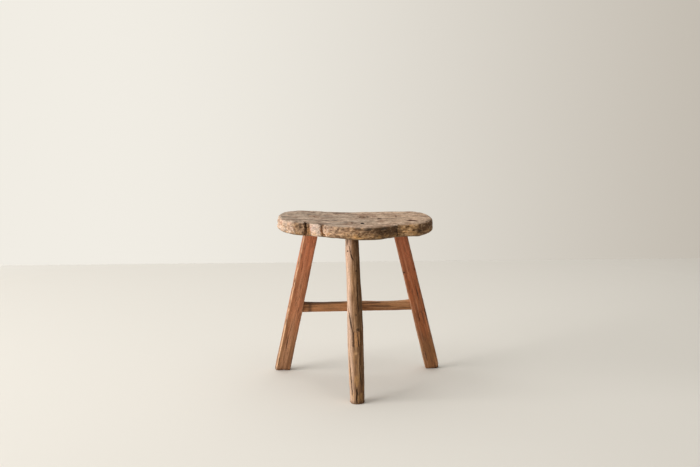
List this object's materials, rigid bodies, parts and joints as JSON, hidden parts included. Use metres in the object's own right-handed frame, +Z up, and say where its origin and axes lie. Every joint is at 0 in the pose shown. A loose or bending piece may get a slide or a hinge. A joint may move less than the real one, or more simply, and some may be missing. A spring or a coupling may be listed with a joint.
{
  "type": "wooden milking stool",
  "caption": "Hand-made milking stool: a worn slab seat on splayed legs, tied by a T of stretchers with wedged through tenons.",
  "frame": {"origin": "on the ground, under the middle of the whole stool's outline", "axes": "+X along the seat, to the right seen from the single front leg; +Y towards the pair of rear legs; +Z up"},
  "size_m": [0.4354, 0.3378, 0.4325],
  "materials": {
    "seat_wood": "weathered, worn bare elm or similar, grey-brown with dark splits",
    "front_leg_wood": "bare round pole, worn smooth, drying cracks along the grain",
    "rear_leg_wood": "bare reddish sawn wood, dull, browner towards the feet",
    "stretcher_wood": "bare brown wood, worn on its upper edge",
    "wedge_wood": "bare end grain, darkened with age"
  },
  "bodies": {
    "root": {"seat": "seat_wood", "front_leg": "front_leg_wood", "rear_leg_left": "rear_leg_wood", "rear_leg_right": "rear_leg_wood", "rear_stretcher": "stretcher_wood", "centre_stretcher": "stretcher_wood", "front_leg_tenon_wedge": "wedge_wood", "rear_leg_left_tenon_wedge": "wedge_wood", "rear_leg_right_tenon_wedge": "wedge_wood", "rear_stretcher_left_wedge": "wedge_wood", "rear_stretcher_right_wedge": "wedge_wood", "centre_stretcher_tenon_wedge": "wedge_wood"}
  },
  "joints": []
}
